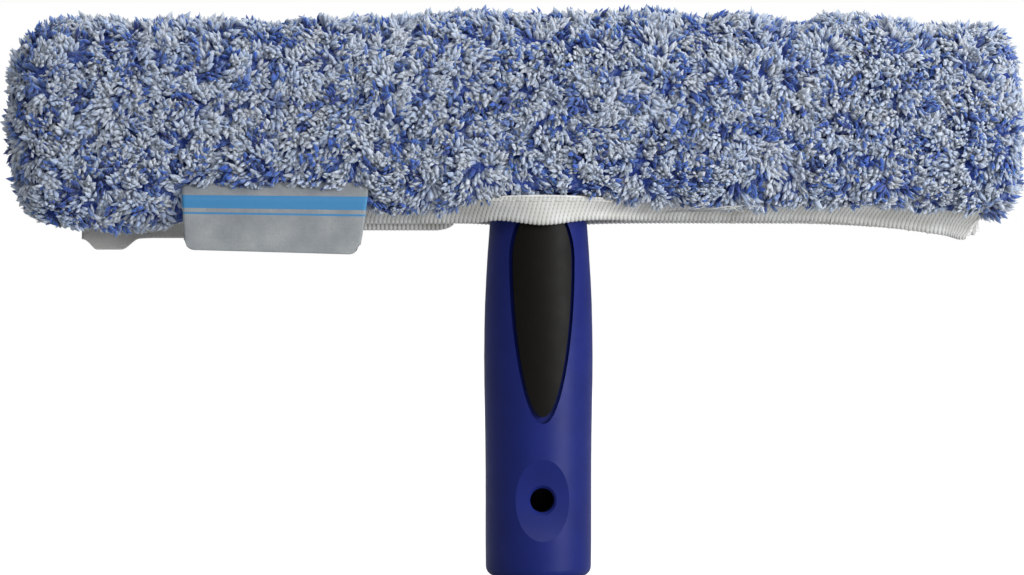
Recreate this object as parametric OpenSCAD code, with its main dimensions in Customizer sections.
// Window scrubber: a T-bar with a pole-socket handle, and a pile sleeve that lifts off its crossbar.
// Sizes are in millimetres. Z is up and the handle stands on Z = 0, with the pole socket's mouth at the origin.
// The crossbar runs along X, and -Y is the front, the side that carries the label.

/* [Handle] */
// Diameter of the grip near its base
grip_d = 37.2; // [35:0.1:39]
// Extra radius of the palm swell
swell = 0.5; // [0:0.05:0.9]
// Height of the middle of the palm swell
swell_z = 76; // [65:1:90]
// How much the radius shrinks at the neck
neck_drop = 1.35; // [0.5:0.05:1.5]
// Height of the handle shell
shell_h = 135; // [132:0.5:136]
// Rounding of the base rim
base_round = 3.2; // [1.5:0.1:4]

/* [Pole socket] */
// Outside diameter of the socket core
core_d = 28; // [27:0.1:29]
// Bore of the pole socket
socket_d = 22.8; // [20:0.1:24]
// Depth of the pole socket
socket_depth = 88; // [70:1:95]
// Diameter of the lock hole, which goes through the front wall only
lock_hole_d = 8.4; // [6:0.1:9]
// Height of the lock hole
lock_hole_z = 27.5; // [24:0.5:32]
// Radius of the thumb scoop round the lock hole
scoop_r = 41; // [36:1:50]
// Depth of the thumb scoop
scoop_depth = 2.5; // [1.5:0.1:3]

/* [Grip inlays] */
// Widest width of the inlay's pocket
pocket_w = 22.8; // [18:0.1:25]
// Height of the pocket's pointed lower end
pocket_tip_z = 54; // [48:1:60]
// Height at which the pocket is widest
pocket_wide_z = 110.8; // [100:0.1:115]
// Height of the pocket's upper end
pocket_top_z = 130.5; // [128:0.5:131]
// Depth of the pocket
pocket_depth = 1.8; // [1:0.1:2.2]
// Width of the groove left open round the inlay
groove_w = 1.2; // [0.6:0.1:1.6]
// How far the inlay stands proud of the shell
inlay_proud = 0.15; // [0:0.05:0.4]

/* [Crossbar] */
// Length of the crossbar without its end caps
bar_len = 317; // [300:1:317]
// Height of the crossbar
bar_h = 42; // [38:1:42]
// Thickness of the crossbar
bar_t = 18; // [14:0.5:18]
// Height of the crossbar's underside
bar_z = 138; // [138:0.5:139]
// Water pockets on each half of each face
pockets = 5; // [3:1:6]
// Rib between two water pockets
rib_t = 3; // [2:0.5:5]
// Web between the front and back pockets
web_t = 2.4; // [2:0.2:4]
// Thickness of an end cap's plate
cap_t = 2.5; // [1.5:0.5:2.5]

/* [Sleeve] */
// Length of the sleeve over its pile
sleeve_len = 357.4; // [356:0.1:359]
// How far the sleeve sits to the left of the handle's axis
sleeve_shift = 6.5; // [5:0.1:7]
// Depth of the sleeve over its pile, front to back
sleeve_depth = 45; // [42:0.5:50]
// Usual height of the pile's top
pile_top = 196.6; // [194:0.1:199]
// Usual height of the pile's lower edge, right of the label
pile_low = 131.6; // [131:0.1:133]
// How far the pile's lower edge hangs down at the left end
pile_droop = 7.6; // [0:0.1:9]
// Thickness of the backing cloth
cloth_t = 1.2; // [0.8:0.1:1.5]
// Room between the crossbar and the backing cloth
bar_gap = 0.5; // [0.4:0.1:0.6]

/* [Mouth] */
// Thickness of the binding tape
tape_t = 0.8; // [0.6:0.1:1]
// Height of the front tape's lower edge beside the handle
front_low_z = 124.7; // [124:0.1:126]
// Height of the flap tape's lower edge
flap_low_z = 121.2; // [120:0.1:122]
// Height of the closure strip's lower edge
strip_low_z = 118.3; // [118:0.1:119]
// Thickness of a hook or loop strip
strip_t = 1.4; // [1:0.1:1.4]

/* [Label] */
// Width of the label
label_w = 64; // [50:1:70]
// Height of the hanging part of the label
label_h = 22.4; // [18:0.1:25]
// Thickness of the label
label_t = 0.8; // [0.5:0.1:1]
// Distance of the label's middle from the handle's axis, to the left
label_x = 93; // [88:1:98]

/* [Hidden] */

// Round parts
round_fn = 96;
hole_fn = 48;
past = 1;

// Handle shell
swell_span = 22;
taper_z = 92;
taper_span = 29.4;
foot_drop = 0.25;
foot_span = 9;
shell_bands = 14;
top_round = 3;
hole_bevel = 0.7;

// Grip inlays
pocket_steps = 14;
pocket_power = 0.46;
skin_bands = 10;

// Neck tenon and its screws
tenon_w = 38;
tenon_t = 11.6;
tenon_h = 24;
tenon_room = 0.1;
screw_x = 11;
screw_z = bar_z + 13;
shank_r = 1.9;
shank_len = 14.5;
head_r = 3.7;
head_h = 2;
driver_w = 1;
driver_span = 4.4;
driver_depth = 1.1;

// Crossbar
bar_round = 5;
bar_mid = bar_z + bar_h / 2;
hub_half = 26;
end_block = 12;
pocket_edge = 6;
pocket_round = 4;
weep_r = 3;
cap_edge = 1.2;
spigot_len = 7;
spigot_t = 9;
spigot_h = 28;
spigot_room = 0.1;

// Sleeve
sleeve_left = -sleeve_shift - sleeve_len / 2;
sleeve_right = -sleeve_shift + sleeve_len / 2;
hollow_left = -172.5;
hollow_right = 165.5;
hollow_half = bar_t / 2 + bar_gap;
hollow_top = bar_z + bar_h + bar_gap;
hollow_round = bar_round + bar_gap;
cloth_low = 131;
left_round = 18;
right_round = 8.5;
end_power = 2.2;
end_least = 0.45;
upper_power = 2.4;
lower_power = 4;
left_rise = 5;
right_rise = -2;
// Swells of the pile's top, and how far its front fringe hangs below or above pile_low
top_swells = [
    [-190, -3], [-172, -1.2], [-150, -1], [-139, -2.6], [-127, -1.2], [-93, -1.8], [-75, -0.6], [-50, -0.4],
    [-37, 0.6], [-25, 1.8], [18, 1.8], [41, 2.6], [58, 1], [69, 2], [81, 0.6], [92, -1.4], [103, 2.4], [115, 2.2],
    [128, 0.2], [140, -1.6], [152, -1.4], [175, -3]
];
fringe_drops = [
    [-190, -8], [-176, -9.4], [-165, -10.4], [-132, -10], [-124, -5.5], [-112, -3.4], [-93, -2.8], [-75, -2.1],
    [-62, -2.1], [-55, -3.2], [-38, -3.2], [-17, 0.4], [0, 2.2], [22, 0.6], [36, -0.4], [60, -1], [127, -1.2],
    [148, -2.6], [175, -2.1]
];
ring_points = 32;
ring_step = 9;
hug_bulge = 5.6;
handle_room = 18;
handle_room_top = bar_z + 0.5;
seam_w = 3.5;
seam_t = 1.6;
end_lift = 4;

// Mouth: the lips run along X, and u goes from 0 at a lip's top to 1 at its lower edge
lip_step = 6;
tape_us = [0.15, 0.38, 0.62, 0.82, 1];
sewn_gap = 0.2;
lip_left = -172;
lip_right = 157;
lip_hug = 19.4;
lip_side = 1.6;
strip_side = 3.6;
strip_under = 7;
split_x = -29;
flap_left = -159;
flap_side = 1.5;
flap_top_z = 130.6;
flap_hinge_y = 10.3;
flap_tape_vs = [0.56, 0.78, 1];
tab_w = 24;
tab_h = 4;
stitch_len = 2.8;
stitch_pitch = 4.4;
stitch_t = 0.3;
stitch_gap = 0.08;
seam_pitch = 7;

// Label
label_y = -22.3;
label_top = 135.5;
label_fold = 0.7;
label_corner = 3.5;
margin_h = 2.6;

function clamp01(v) = max(0, min(1, v));
function ease(v) = let (t = clamp01(v)) t * t * (3 - 2 * t);
function bell(v) = exp(-v * v);
function mix(a, b, t) = a + (b - a) * t;
function sgn(v) = v < 0 ? -1 : 1;
function flat(rows) = [for (row = rows) each row];
function span(a, b, step) = let (n = ceil((b - a) / step)) [for (i = [0:n]) mix(a, b, i / n)];
function quad(a, b, c, d) = [[a, b, c], [a, c, d]];

// Outer radius of the grip at height z
function grip_r(z) = grip_d / 2 + swell * bell((z - swell_z) / swell_span)
    - neck_drop * pow(max(0, z - taper_z) / taper_span, 1.7)
    - foot_drop * pow(max(0, foot_span - z) / foot_span, 2);

// Half width of a teardrop at height z, between its tip, its widest height and its top
function drop_half(z, w, tip, wide, top) = z < wide
    ? w / 2 * pow(sin(90 * clamp01((z - tip) / (wide - tip))), pocket_power)
    : w / 2 * sqrt(max(0, 1 - pow((z - wide) / (top - wide), 2)));

// Heights that close up towards both ends of a teardrop
function drop_heights(tip, wide, top) = concat(
    [for (i = [0:pocket_steps]) mix(tip, wide, 1 - cos(90 * i / pocket_steps))],
    [for (i = [1:pocket_steps]) mix(wide, top, sin(90 * i / pocket_steps))]
);

// A closed solid through rings of equal length, closed by fans at both ends
module loft(rings) {
    n = len(rings);
    m = len(rings[0]);
    first = n * m;
    middle = function (ring) [for (k = [0:2]) [for (p = ring) p[k]] * [for (p = ring) 1] / m];
    polyhedron(
        points = concat(flat(rings), [middle(rings[0]), middle(rings[n - 1])]),
        faces = concat(
            [for (i = [0:n - 2], j = [0:m - 1]) let (k = (j + 1) % m)
                each quad(i * m + j, i * m + k, (i + 1) * m + k, (i + 1) * m + j)],
            [for (j = [0:m - 1]) [first, (j + 1) % m, j]],
            [for (j = [0:m - 1]) [first + 1, (n - 1) * m + j, (n - 1) * m + (j + 1) % m]]
        ),
        convexity = 6
    );
}

// A closed solid between two skins, each a list of rows of points
module strip(outer, inner) {
    n = len(outer);
    m = len(outer[0]);
    o = function (i, j) i * m + j;
    q = function (i, j) n * m + i * m + j;
    polyhedron(
        points = concat(flat(outer), flat(inner)),
        faces = concat(
            [for (i = [0:n - 2], j = [0:m - 2]) each quad(o(i, j), o(i, j + 1), o(i + 1, j + 1), o(i + 1, j))],
            [for (i = [0:n - 2], j = [0:m - 2]) each quad(q(i, j), q(i + 1, j), q(i + 1, j + 1), q(i, j + 1))],
            [for (i = [0:n - 2]) each quad(o(i, 0), o(i + 1, 0), q(i + 1, 0), q(i, 0))],
            [for (i = [0:n - 2]) each quad(o(i, m - 1), q(i, m - 1), q(i + 1, m - 1), o(i + 1, m - 1))],
            [for (j = [0:m - 2]) each quad(o(0, j), q(0, j), q(0, j + 1), o(0, j + 1))],
            [for (j = [0:m - 2]) each quad(o(n - 1, j), o(n - 1, j + 1), q(n - 1, j + 1), q(n - 1, j))]
        ),
        convexity = 8
    );
}

module rounded_rect(w, h, r) {
    square([w - 2 * r, h], center = true);
    square([w, h - 2 * r], center = true);
    for (x = [-1, 1], y = [-1, 1])
        translate([x * (w / 2 - r), y * (h / 2 - r)]) circle(r = r, $fn = hole_fn);
}

// A rounded bar along X from x0 to x1, centred on height z
module bar_along_x(x0, x1, t, h, r, z) {
    translate([x0, 0, z]) rotate([90, 0, 90]) linear_extrude(x1 - x0) rounded_rect(t, h, r);
}

module round_along_y(r, y0, y1) {
    translate([0, y0, 0]) rotate([-90, 0, 0]) cylinder(r = r, h = y1 - y0, $fn = hole_fn);
}

// The front half of a teardrop-shaped prism through the handle
module teardrop_prism(w, tip, wide, top) {
    heights = drop_heights(tip, wide, top);
    last = len(heights) - 1;
    right = [for (z = heights) [drop_half(z, w, tip, wide, top), z]];
    left = [for (i = [1:last - 1]) [-right[last - i][0], right[last - i][1]]];
    rotate([90, 0, 0]) linear_extrude(grip_d) polygon(concat(right, left));
}

// A layer of the grip between two depths below its surface
module grip_layer(depth, proud) {
    heights = [for (i = [0:skin_bands]) mix(pocket_tip_z - 2, pocket_top_z + 2, i / skin_bands)];
    rotate_extrude($fn = round_fn) polygon(concat(
        [for (z = heights) [grip_r(z) + proud, z]],
        [for (i = [0:skin_bands]) let (z = heights[skin_bands - i]) [grip_r(z) - depth, z]]
    ));
}

module inlay_pocket() {
    intersection() {
        teardrop_prism(pocket_w, pocket_tip_z, pocket_wide_z, pocket_top_z);
        grip_layer(pocket_depth, 2);
    }
}

module inlay() {
    color("#1c1c17") intersection() {
        teardrop_prism(
            pocket_w - 2 * groove_w, pocket_tip_z + 2 * groove_w, pocket_wide_z, pocket_top_z - groove_w);
        grip_layer(pocket_depth, inlay_proud);
    }
}

module handle_shell() {
    outline = concat(
        [for (a = [-90:18:0])
            [grip_r(base_round) - base_round + base_round * cos(a), base_round + base_round * sin(a)]],
        [for (i = [1:shell_bands])
            let (z = mix(base_round, shell_h - top_round, i / shell_bands)) [grip_r(z), z]],
        [for (a = [18:18:90]) [
            grip_r(shell_h - top_round) - top_round + top_round * cos(a),
            shell_h - top_round + top_round * sin(a)
        ]]
    );
    color("#232e80") difference() {
        rotate_extrude($fn = round_fn) polygon(concat(outline, [[core_d / 2, shell_h], [core_d / 2, 0]]));
        for (side = [0, 180]) rotate([0, 0, side]) inlay_pocket();
        translate([0, -grip_r(lock_hole_z) + scoop_depth - scoop_r, lock_hole_z]) rotate([0, 90, 0])
            cylinder(r = scoop_r, h = 2 * grip_d, center = true, $fn = 2 * round_fn);
        translate([0, -grip_r(lock_hole_z) + scoop_depth, lock_hole_z]) rotate([90, 0, 0])
            translate([0, 0, -hole_bevel])
                cylinder(
                    r1 = lock_hole_d / 2, r2 = lock_hole_d / 2 + 2 * hole_bevel,
                        h = 2 * hole_bevel, $fn = hole_fn);
        translate([0, 0, lock_hole_z]) round_along_y(lock_hole_d / 2, -grip_d, 0);
    }
}

module grip_inlay_front() {
    inlay();
}

module grip_inlay_back() {
    rotate([0, 0, 180]) inlay();
}

module socket_core() {
    color("#1b1b1d") difference() {
        cylinder(d = core_d, h = socket_depth + 4, $fn = round_fn);
        translate([0, 0, -past]) cylinder(d = socket_d, h = socket_depth + past, $fn = round_fn);
        translate([0, 0, lock_hole_z]) round_along_y(lock_hole_d / 2, -core_d, 0);
    }
}

module neck_tenon() {
    foot = socket_depth + 4;
    color("#1b1b1d") difference() {
        union() {
            translate([0, 0, foot]) cylinder(d = core_d, h = bar_z - foot, $fn = round_fn);
            translate([-tenon_w / 2, -tenon_t / 2, bar_z - 2]) cube([tenon_w, tenon_t, tenon_h + 2]);
        }
        for (x = [-screw_x, screw_x]) translate([x, 0, screw_z]) round_along_y(shank_r, -bar_t, bar_t);
    }
}

module water_pockets() {
    from = hub_half;
    pitch = (bar_len / 2 - end_block - hub_half + rib_t) / pockets;
    for (side = [-1, 1], face = [-1, 1], i = [0:pockets - 1])
        translate([side * (from + i * pitch + (pitch - rib_t) / 2), face * (web_t / 2 + bar_t / 2), bar_mid])
            rotate([90, 0, 0]) linear_extrude(bar_t, center = true)
                rounded_rect(pitch - rib_t, bar_h - 2 * pocket_edge, pocket_round);
    for (side = [-1, 1], i = [0:pockets - 1])
        translate([side * (from + i * pitch + (pitch - rib_t) / 2), 0, bar_mid])
            round_along_y(weep_r, -bar_t, bar_t);
}

module crossbar() {
    half = bar_len / 2;
    color("#222224") difference() {
        bar_along_x(-half, half, bar_t, bar_h, bar_round, bar_mid);
        water_pockets();
        translate([-tenon_w / 2 - tenon_room, -tenon_t / 2 - tenon_room, bar_z - past])
            cube([tenon_w + 2 * tenon_room, tenon_t + 2 * tenon_room, tenon_h + tenon_room + past]);
        for (x = [-screw_x, screw_x]) translate([x, 0, screw_z]) {
            round_along_y(shank_r, bar_t / 2 - shank_len, bar_t);
            translate([0, bar_t / 2, 0]) rotate([90, 0, 0])
                translate([0, 0, -past])
                    cylinder(r1 = head_r + past, r2 = shank_r, h = head_h + past, $fn = hole_fn);
        }
        for (side = [-1, 1]) translate([side * half, 0, bar_mid])
            cube(
                [2 * (spigot_len + spigot_room), spigot_t + 2 * spigot_room,
                    spigot_h + 2 * spigot_room], center = true);
    }
}

module end_cap() {
    half = bar_len / 2;
    color("#222224") {
        bar_along_x(half, half + cap_t - cap_edge, bar_t, bar_h, bar_round, bar_mid);
        bar_along_x(
            half, half + cap_t, bar_t - 2 * cap_edge, bar_h - 2 * cap_edge, bar_round - cap_edge, bar_mid);
        translate([half - spigot_len, -spigot_t / 2, bar_mid - spigot_h / 2])
            cube([spigot_len + past, spigot_t, spigot_h]);
    }
}

module end_cap_right() {
    end_cap();
}

module end_cap_left() {
    rotate([0, 0, 180]) end_cap();
}

module crossbar_screws() {
    color("#b9bcc0") for (x = [-screw_x, screw_x]) translate([x, bar_t / 2, screw_z]) difference() {
        union() {
            round_along_y(shank_r, -shank_len, -head_h);
            rotate([90, 0, 0]) cylinder(r1 = head_r, r2 = shank_r, h = head_h, $fn = hole_fn);
        }
        for (turn = [0, 90]) rotate([0, turn, 0])
            cube([driver_w, 2 * driver_depth, driver_span], center = true);
    }
}

// Heights of the pile's top and lower edge along the sleeve
function pile_top_at(x) = pile_top + lookup(x, top_swells);
function pile_low_at(x) = pile_low + 2 * bell(x / 34) - pile_droop * ease((-48 - x) / 110)
    + 0.3 * sin(360 * x / 61);
function fringe_at(x) = pile_low + lookup(x, fringe_drops);

// How far the end of the sleeve has filled out at x, from end_least to 1
function fullness(x) = let (
        left = clamp01((x - sleeve_left) / left_round),
        right = clamp01((sleeve_right - x) / right_round)
    ) max(end_least, pow(1 - pow(1 - left, end_power), 1 / end_power)
        * pow(1 - pow(1 - right, end_power), 1 / end_power));

function pile_ring(x) = let (
        full = fullness(x), top = pile_top_at(x), mid = (top + pile_low_at(x)) / 2,
        half_d = sleeve_depth / 2 * full, lift = (x < 0 ? left_rise : right_rise) * (1 - full)
    ) [for (k = [0:ring_points - 1]) let (
        a = 360 * (k + 0.5) / ring_points, power = 2 / (sin(a) > 0 ? upper_power : lower_power),
        half_h = sin(a) > 0 ? top - mid : mid - (cos(a) < 0 ? fringe_at(x) : pile_low_at(x)),
        z = mid + lift + half_h * full * sgn(sin(a)) * pow(abs(sin(a)), power),
        bulge = hug_bulge * bell(x / 30) * ease((150 - z) / 18) * min(1, 2.2 * abs(cos(a))),
        d = half_d * pow(abs(cos(a)), power) + bulge
    ) [x, sgn(cos(a)) * d, z]];

// Stations along the sleeve, closer together where its ends round off
function pile_stations() = concat(
    [for (i = [0:4]) sleeve_left + left_round * (1 - cos(18 * i))],
    span(sleeve_left + left_round, sleeve_right - right_round, ring_step),
    [for (i = [1:5]) sleeve_right - right_round * (1 - sin(18 * i))]
);

// The room round the crossbar, grown by an offset, down to height low
module bar_room(grow, low) {
    translate([hollow_left - grow, 0, 0]) rotate([90, 0, 90])
        linear_extrude(hollow_right - hollow_left + 2 * grow) {
            half = hollow_half + grow;
            top = hollow_top + grow;
            r = hollow_round + grow;
            translate([-half, low]) square([2 * half, top - r - low]);
            translate([-half + r, low]) square([2 * (half - r), top - low]);
            for (side = [-1, 1]) translate([side * (half - r), top - r]) circle(r = r, $fn = hole_fn);
        }
}

module handle_space() {
    cylinder(r = handle_room, h = handle_room_top, $fn = round_fn);
}

// Height of a lip's top, and its distance from the middle plane there and at its lower edge
function lip_top(x) = cloth_low + 2 * bell(x / 34);
function lip_top_side(x) = mix(hollow_half + cloth_t / 2, lip_hug, bell(x / 30));
function lip_low_side(x, side) = mix(side, lip_hug, bell(x / 26));

// Distance of the front lip from the middle plane at its lower edge, wider where the closure strips lie
function front_side(x) = mix(lip_side, strip_side, ease((-20 - x) / 30));

// Lower edge of the front tape and of the back tape
function front_low(x) = front_low_z - 2 * bell(x / 11) - 1.2 * ease((-14 - x) / 10)
    - 6.5 * pow(clamp01((x - 92) / 62), 1.6);
function back_low(x) = front_low_z - 0.8 - 1.4 * bell(x / 14) - 4 * pow(clamp01((x - 92) / 62), 1.6);

// A point on a lip: u down the lip, out its offset from the lip's middle, dir -1 in front and 1 behind
function lip_point(x, u, side, low, out, dir) = let (
        top = lip_top(x), edge = low + tape_t + 0.4,
        d = mix(lip_top_side(x), lip_low_side(x, side), ease(u * 1.15))
    ) [x, dir * (d + out), mix(top, edge, u)];

function lip_row(x, side, low, out, dir) =
    [for (u = concat([0], tape_us)) lip_point(x, u, side, low, out, dir)];

// A tape folded round a lip's lower edge, as seen along X
function tape_row(x, side, low, out, dir) = let (
        edge = lip_point(x, 1, side, low, 0, dir),
        sink = [0, 0, -out * 0.8]
    ) concat(
        [for (u = tape_us) lip_point(x, u, side, low, out, dir)],
        [edge + [0, dir * out * 0.75, 0] + sink, edge - [0, dir * out * 0.75, 0] + sink],
        [for (i = [0:3]) lip_point(x, tape_us[4 - i], side, low, -out, dir)]
    );

module lip(x0, x1, side, low, dir) {
    stations = span(x0, x1, lip_step);
    outer = [for (x = stations) lip_row(x, side(x), low(x), cloth_t / 2, dir)];
    inner = [for (x = stations) lip_row(x, side(x), low(x), -cloth_t / 2, dir)];
    if (dir < 0) strip(outer, inner); else strip(inner, outer);
}

module tape(x0, x1, side, low, dir) {
    stations = span(x0, x1, lip_step);
    outer = [for (x = stations) tape_row(x, side(x), low(x), cloth_t / 2 + tape_t, dir)];
    inner = [for (x = stations) tape_row(x, side(x), low(x), cloth_t / 2 + sewn_gap, dir)];
    if (dir < 0) strip(outer, inner); else strip(inner, outer);
}

// One row of stitches along a tape's outer face
module tape_stitches(x0, x1, side, low, dir) {
    near = cloth_t / 2 + tape_t + stitch_gap;
    corner = function (x, u, out) lip_point(x, u, side(x), low(x), out, dir);
    for (x = [x0:stitch_pitch:x1 - stitch_len]) {
        outer = [for (s = [x, x + stitch_len]) [for (u = [0.22, 0.3]) corner(s, u, near + stitch_t)]];
        inner = [for (s = [x, x + stitch_len]) [for (u = [0.22, 0.3]) corner(s, u, near)]];
        if (dir < 0) strip(outer, inner); else strip(inner, outer);
    }
}

module mouth_space() {
    grow = cloth_t / 2 + tape_t + 0.1;
    loft([
        for (x = span(lip_left - past, lip_right + past, lip_step))
            let (w = lip_top_side(x) + grow, top = lip_top(x) + 0.2)
                [[x, -w, 100], [x, -w, top], [x, w, top], [x, w, 100]]
    ]);
}

module pile() {
    color("#a9b4d2") difference() {
        loft([for (x = pile_stations()) pile_ring(x)]);
        bar_room(cloth_t, 100);
        mouth_space();
        handle_space();
    }
}

// The cloth under the pile, whose end walls stop short of its lower edge
module backing_cloth() {
    color("#dfe0e0") difference() {
        bar_room(cloth_t, cloth_low);
        bar_room(0, cloth_low - past);
        mouth_space();
        handle_space();
        for (x = [hollow_left, hollow_right]) translate([x, 0, cloth_low])
            cube([2 * cloth_t + past, sleeve_depth, 2 * end_lift], center = true);
    }
}

module end_seam(x) {
    color("#d0d1d0") translate([x, -seam_t / 2, cloth_low + 2])
        cube([seam_w, seam_t, hollow_top - cloth_low - 5]);
}

module end_seam_left() {
    end_seam(hollow_left);
}

module end_seam_right() {
    end_seam(hollow_right - seam_w);
}

module lip_front() {
    color("#dfe0e0") lip(lip_left, lip_right, function (x) front_side(x), function (x) front_low(x), -1);
}

module binding_front() {
    color("#c8c8c4") tape(lip_left, lip_right, function (x) front_side(x), function (x) front_low(x), -1);
}

module binding_front_stitches() {
    color("#e4e4e0") tape_stitches(
        lip_left + 2, lip_right, function (x) front_side(x), function (x) front_low(x), -1);
}

module lip_back() {
    color("#dfe0e0") lip(split_x + 1, lip_right, function (x) lip_side, function (x) back_low(x), 1);
}

module binding_back() {
    color("#c8c8c4") tape(split_x + 1, lip_right, function (x) lip_side, function (x) back_low(x), 1);
}

module binding_back_stitches() {
    color("#e4e4e0") tape_stitches(split_x + 3, lip_right, function (x) lip_side, function (x) back_low(x), 1);
}

// Stitches under the two tapes that shut the right half of the mouth
module mouth_seam_stitches() {
    color("#e4e4e0") for (x = [62:seam_pitch:lip_right - 12]) {
        reach = lip_side + cloth_t / 2 + tape_t;
        translate([x, 0, min(front_low(x), back_low(x)) - stitch_gap - stitch_t / 2])
            cube([stitch_t * 2, 2 * reach, stitch_t], center = true);
    }
}

// The back half of the mouth's left side, which peels away; v goes from 0 at its hinge to 1 at its lower edge
function flap_point(x, v, low, out) = [
    x,
    mix(flap_hinge_y, flap_side, ease(v * 1.8)) + out,
    mix(flap_top_z - abs(out) * 0.4, low, v)
];

function flap_row(x, low, out) = [for (v = concat([0, 0.2, 0.4], flap_tape_vs)) flap_point(x, v, low, out)];

module closure_flap() {
    low = flap_low_z + tape_t + 0.4;
    color("#dfe0e0") strip(
        [for (x = [flap_left, split_x - 0.5]) flap_row(x, low, -cloth_t / 2)],
        [for (x = [flap_left, split_x - 0.5]) flap_row(x, low, cloth_t / 2)]
    );
}

module binding_flap() {
    low = flap_low_z + tape_t + 0.4;
    row = function (x, out) concat(
        [for (v = flap_tape_vs) flap_point(x, v, low, -out)],
        [[x, flap_side - 0.75 * out, low - 0.8 * out], [x, flap_side + 0.75 * out, low - 0.8 * out]],
        [for (i = [1:3]) flap_point(x, flap_tape_vs[3 - i], low, out)]
    );
    ends = [-label_x - label_w / 2 + strip_under + 0.6, split_x - 0.5];
    near = cloth_t / 2 + sewn_gap;
    color("#b9b9b5") strip([for (x = ends) row(x, near + tape_t)], [for (x = ends) row(x, near)]);
}

// The loop strip on the front lip, and the hook strip that it grips, on the flap
module loop_strip() {
    color("#e6e6e2") translate([flap_left, -0.7 - strip_t, front_low(flap_left) + 1])
        cube([split_x - 22 - flap_left, strip_t - 0.1, 3.4]);
}

module hook_strip() {
    color("#9a9a97") translate([flap_left, -strip_t / 2 + 0.1, strip_low_z])
        cube([-label_x - label_w / 2 + strip_under - flap_left, strip_t - 0.2, 8]);
}

module closure_strip_stitches() {
    color("#e4e4e0") for (x = [flap_left + 2:stitch_pitch:-label_x - label_w / 2], up = [4.6, 6.2])
        translate([x, flap_side + cloth_t / 2 + stitch_gap, strip_low_z + up])
            cube([stitch_len, stitch_t, 0.5]);
}

module pull_tab() {
    low = strip_low_z - tab_h;
    color("#9a9a97") translate([flap_left, strip_t / 2, 0]) rotate([90, 0, 0]) linear_extrude(strip_t) polygon([
        [0, strip_low_z], [1.6, low + 3], [4.6, low], [14.6, low], [18, strip_low_z - 0.6], [tab_w, strip_low_z]
    ]);
}

module label_margin() {
    color("#b4b5b4") translate([-label_x - label_w / 2, label_y - label_t / 2, label_top + label_fold])
        cube([label_w, label_t, margin_h]);
}

module label_stitches() {
    color("#e4e4e0") for (x = [-label_x - label_w / 2 + 2:stitch_pitch:-label_x + label_w / 2 - 4])
        translate([x, label_y - label_t / 2 - stitch_gap - stitch_t, label_top + label_fold + 1])
            cube([stitch_len, stitch_t, 0.5]);
}

module label_flap() {
    half = label_w / 2;
    r = label_corner;
    outline = concat(
        [[-half, 0], [half, 0]],
        [for (a = [0:-22.5:-90]) [half - r + r * cos(a), -label_h + r + r * sin(a)]],
        [for (a = [-90:-22.5:-180]) [-half + r + r * cos(a), -label_h + r + r * sin(a)]]
    );
    color("#b4b5b4") translate([-label_x, label_y + label_t / 2, label_top]) rotate([90, 0, 0])
        linear_extrude(label_t) polygon(outline);
}

handle_shell();
grip_inlay_front();
grip_inlay_back();
socket_core();
neck_tenon();
crossbar();
end_cap_left();
end_cap_right();
crossbar_screws();
pile();
backing_cloth();
end_seam_left();
end_seam_right();
lip_front();
binding_front();
binding_front_stitches();
loop_strip();
lip_back();
binding_back();
binding_back_stitches();
mouth_seam_stitches();
closure_flap();
binding_flap();
hook_strip();
closure_strip_stitches();
pull_tab();
label_margin();
label_stitches();
label_flap();
